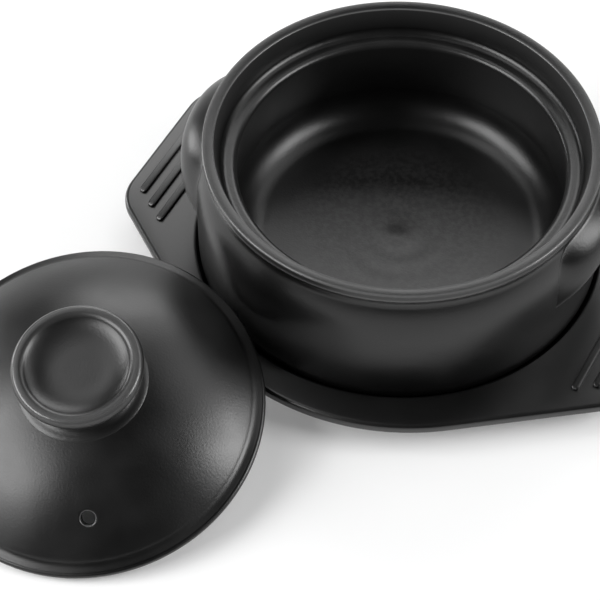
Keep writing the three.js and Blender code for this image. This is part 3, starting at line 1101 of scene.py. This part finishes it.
@dataclass
class Tray:
    """The serving tray: a disc with a round seat and two wings, moulded in one with its grip ribs."""

    low: Vector
    high: Vector
    pot: Pot
    seat: float = 88.9
    seat_depth: float = 10.0
    seat_fillet: float = 7.0
    seat_draft: float = 1.2
    seat_edge: float = 1.8
    hub: float = 4.0
    base: float = 5.0
    foot_inset: float = 8.5
    dish_wall: float = 7.0
    dish_round: float = 1.2
    plate: float = 5.2
    plate_round: float = 1.9
    side_angle: float = 36.6
    corner: float = 21.0
    rib_count: int = 3
    rib_pitch: float = 7.45
    rib_edge_inset: float = 8.4
    rib_end_inset: float = 12.0
    rib_width: float = 3.4
    rib_height: float = 1.4
    sharp_angle: float = 40.0

    def __post_init__(self) -> None:
        """Work out the plan from the solid's box."""
        self.disc = (self.high.y - self.low.y) / 2 / MM
        self.wing = (self.high.x - self.low.x) / 2 / MM
        self.top = self.base + self.seat_depth
        self.under = self.top - self.plate
        self.centre = np.array(self.pot.axis.xy) / MM

    def outline(self, inset: float) -> np.ndarray:
        """Draw the plan: the disc, tangent wing sides, round corners and wing ends.

        Args:
            inset: Distance inwards from the edge in millimetres.

        Returns:
            Points in millimetres, always the same number, counter-clockwise.
        """
        side = self.side_angle
        slant = math.radians(side)
        x = self.wing - self.corner
        y = (self.disc - self.corner - x * math.sin(slant)) / math.cos(slant)
        drawn = []
        for centre, radius, start, end, steps in (((0, 0), self.disc, -90 - side, -90 + side, 72),
                                                  ((x, -y), self.corner, -90 + side, 0, 18),
                                                  ((x, y), self.corner, 0, 90 - side, 18)):
            angle = np.radians(np.linspace(start, end, steps + 1))
            drawn.append(np.array(centre) + (radius - inset) * np.c_[np.cos(angle), np.sin(angle)])
        # The other half is the same, turned half round
        drawn += [-arc for arc in drawn]
        ring = []
        for here, ahead in zip(drawn, drawn[1:] + drawn[:1]):
            ring += [here, np.linspace(here[-1], ahead[0], 28)[1:-1]]
        return np.concatenate(ring)

    def rings(self) -> list[np.ndarray]:
        """Give the tray's skin from the middle of the seat, over the brim, to the middle of the underside.

        Returns:
            Rings in metres with the same number of points each.
        """
        heading = np.arctan2(*self.outline(0).T[::-1])
        circle = np.c_[np.cos(heading), np.sin(heading)]

        def level(plan: np.ndarray, height: float) -> np.ndarray:
            """Lift a plan to a height."""
            return np.c_[plan, np.full(len(plan), height)]

        fillet = self.seat - self.seat_draft - self.seat_fillet
        inside = Profile(self.hub, self.base).line(fillet, self.base, steps=12)
        inside.arc((fillet, self.base + self.seat_fillet), self.seat_fillet, -90, 0, steps=14)
        inside.line(self.seat, self.top - self.seat_edge, steps=3)
        inside.curve((self.seat, self.top), (self.seat + self.seat_edge, self.top), steps=8)
        r = self.plate_round
        edge = Profile(r, self.top).arc((r, self.top - r), r, 90, 180, steps=8)
        edge.arc((r, self.under + r), r, 180, 270, steps=8)
        dish = self.seat + self.dish_wall
        low = self.under - self.dish_round
        beneath = Profile(dish + self.dish_round, self.under).curve((dish, self.under), (dish, low), steps=6)
        beneath.curve((dish, 0), (self.seat - self.foot_inset, 0), steps=16).line(self.hub, 0, steps=8)
        rings = [level(circle * radius + self.centre, z) for radius, z in inside.points]
        inner, brim = rings[-1], level(self.outline(r), self.top)
        rings += [inner + (brim - inner) * share for share in (0.25, 0.5, 0.75)]
        rings += [level(self.outline(inset), z) for inset, z in edge.points]
        rings += [level(circle * radius, z) for radius, z in beneath.points]
        return [ring * MM for ring in rings]

    def build(self, melamine: MouldedMelamine) -> None:
        """Build and dress the tray with its ribs.

        Args:
            melamine: Finish of the tray.
        """
        values = {"Count": self.rib_count, "Side Angle": math.radians(self.side_angle),
                  "Finish": melamine.material()}
        sizes = {"Pitch": self.rib_pitch, "Outer Row": self.wing - self.rib_edge_inset,
                 "Width": self.rib_width, "Height": self.rib_height, "End Inset": self.rib_end_inset,
                 "Disc Radius": self.disc, "Plate Top": self.top}
        values.update({name: size * MM for name, size in sizes.items()})
        blank = placed("tray_blank", lofted("tray_blank", self.rings()))
        mesh = run_tree(blank, ribbed_tree(), values)
        mesh.set_sharp_from_angle(angle=math.radians(self.sharp_angle))
        show(placed("winged_tray", mesh), "tray", "tray")


@dataclass(frozen=True)
class SoftBox:
    """A soft box that faces the set.

    Its heading is in degrees to the right from straight behind the set as the camera sees it, its height
    is an elevation in degrees, and its size and distance are in metres.
    """

    name: str
    heading: float
    height: float
    size: Point
    watts: float
    distance: float = 1.4

    def hang(self, camera_heading: float) -> None:
        """Hang the lamp.

        Args:
            camera_heading: Heading of the camera in degrees.
        """
        lamp = bpy.data.lights.new(self.name, "AREA")
        lamp.shape = "RECTANGLE"
        lamp.size, lamp.size_y = self.size
        lamp.energy = self.watts
        box = placed(self.name, lamp)
        around = math.radians(camera_heading - self.heading)
        up = math.radians(self.height)
        way = Vector((-math.sin(around) * math.cos(up), math.cos(around) * math.cos(up), math.sin(up)))
        box.location = way * self.distance
        box.rotation_euler = way.to_track_quat("Z", "Y").to_euler()


@dataclass
class Studio:
    """White table, soft boxes to the left, to the right and behind the set, and the camera."""

    lid: Lid
    camera_place: Vector = field(default_factory=lambda: Vector((0.2688, -0.6056, 0.7902)))
    camera_dip: float = 51.11
    camera_heading: float = 27.89
    lens: float = 138.0
    table: str = "f8f8f8"
    table_roughness: float = 0.9
    # In metres: how long the table's sides are, and how far it lies under the set
    table_size: float = 8.0
    table_drop: float = 2e-4
    # Share of plain white glow in the table near the set, a painted fill light that lightens its shadows, and
    # where it rises to all of it, in metres
    table_lift: float = 0.2
    table_fade: Point = (0.45, 1.0)
    # Shares of the lid's radius between which the table under it keeps its shade
    shade_fade: Point = (0.7, 1.0)
    dusk: float = 0.03
    lamps: tuple[SoftBox, ...] = (
        SoftBox("left_soft_box", -106, 33, (1.15, 0.72), 19),
        SoftBox("right_soft_box", 100, 32, (0.72, 0.64), 13.5),
        SoftBox("back_soft_box", 2, 37, (1.1, 0.62), 7.8),
        SoftBox("rear_right_panel", 58, 52, (0.7, 0.7), 2.4),
        SoftBox("upper_left_panel", -62, 64, (0.7, 0.5), 2.4),
        SoftBox("backdrop", -5, 9, (2.4, 0.4), 2.6, 1.7),
        SoftBox("left_rear_panel", -62, 9, (0.5, 0.4), 5, 1.5))

    def build(self) -> None:
        """Build the table, the light and the camera."""
        scene = bpy.context.scene
        scene.view_settings.view_transform = "Standard"
        half, level = self.table_size / 2, -self.table_drop
        mesh = bpy.data.meshes.new("table_top")
        corners = [(-half, -half, level), (half, -half, level), (half, half, level), (-half, half, level)]
        mesh.from_pydata(corners, [], [(0, 1, 2, 3)])
        mesh.materials.append(self.table_finish())
        placed("table_top", mesh)
        for lamp in self.lamps:
            lamp.hang(self.camera_heading)
        self.sky(scene)
        camera = bpy.data.cameras.new("camera")
        camera.lens = self.lens
        view = placed("camera", camera)
        view.location = self.camera_place
        view.rotation_euler = (math.radians(90 - self.camera_dip), 0, math.radians(self.camera_heading))
        scene.camera = view

    def table_finish(self) -> Material:
        """Make the matt table, whose shadows near the set a painted white glow lightens, and which fades to
        plain white far from it.

        Returns:
            The material.
        """
        material = bpy.data.materials.new("matt_white_table")
        material.use_nodes = True
        tree = material.node_tree
        shader = tree.nodes["Principled BSDF"]
        feed(tree, shader, {
            "Base Color": linear(self.table), "Roughness": self.table_roughness, "Specular IOR Level": 0.0})
        add = partial(add_node, tree)
        ray = add("ShaderNodeLightPath").outputs
        bounced = add("ShaderNodeMath", {0: ray["Is Glossy Ray"], 1: ray["Is Transmission Ray"]},
                      operation="MAXIMUM")
        seen = add("ShaderNodeMath", {0: ray["Is Camera Ray"], 1: bounced}, operation="MAXIMUM")
        place = add("ShaderNodeTexCoord").outputs["Object"]
        away = add("ShaderNodeVectorMath", {0: place}, operation="LENGTH").outputs["Value"]
        # Near the set a little white glow is mixed in: painted light that lightens the shadows
        near, far = self.table_fade
        lift = add("ShaderNodeMapRange", {
            "Value": away, "From Min": near, "From Max": far, "To Min": self.table_lift},
            interpolation_type="SMOOTHSTEP")
        # The shade under the lid stays, so that its vent is dark
        middle = self.lid.place().to_translation()
        aside = add("ShaderNodeVectorMath", {0: place, 1: (middle.x, middle.y, 0.0)}, operation="DISTANCE")
        under, beside = (share * self.lid.radius * MM for share in self.shade_fade)
        clear = add("ShaderNodeMapRange", {
            "Value": aside.outputs["Value"], "From Min": under, "From Max": beside},
            interpolation_type="SMOOTHSTEP")
        white = add("ShaderNodeMath", {0: lift, 1: clear}, operation="MULTIPLY")
        share = add("ShaderNodeMath", {0: seen, 1: white}, operation="MULTIPLY")
        glow = add("ShaderNodeEmission", {"Color": (1, 1, 1, 1), "Strength": 1.0})
        mixed = add("ShaderNodeMixShader", {0: share, 1: shader, 2: glow})
        feed(tree, tree.nodes["Material Output"], {"Surface": mixed})
        return material

    def sky(self, scene: bpy.types.Scene) -> None:
        """Make the surroundings: white to the camera, and to the glaze a dim room that keeps it black.

        Args:
            scene: Scene that gets the world.
        """
        world = bpy.data.worlds.new("studio")
        scene.world = world
        world.use_nodes = True
        tree = world.node_tree
        ray = add_node(tree, "ShaderNodeLightPath").outputs
        seen = add_node(tree, "ShaderNodeMath", {0: ray["Is Camera Ray"], 1: ray["Is Transmission Ray"]},
                        operation="MAXIMUM")
        level = add_node(tree, "ShaderNodeMapRange", {"Value": seen, "To Min": self.dusk, "To Max": 1.0})
        feed(tree, tree.nodes["Background"], {"Color": (1, 1, 1, 1), "Strength": level})


def main() -> None:
    """Build the studio and every piece."""
    logging.basicConfig(level=logging.INFO, format="%(name)s: %(message)s")
    pot = Pot(*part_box("pot_body"))
    lid = Lid(pot)
    Studio(lid).build()
    pot.build(SatinGlaze())
    lid.build(SatinGlaze(name="satin_black_lid_glaze", ior=1.6, roughness=(0.33, 0.4)))
    Tray(*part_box("tray"), pot).build(MouldedMelamine())


if __name__ == "__main__":
    main()
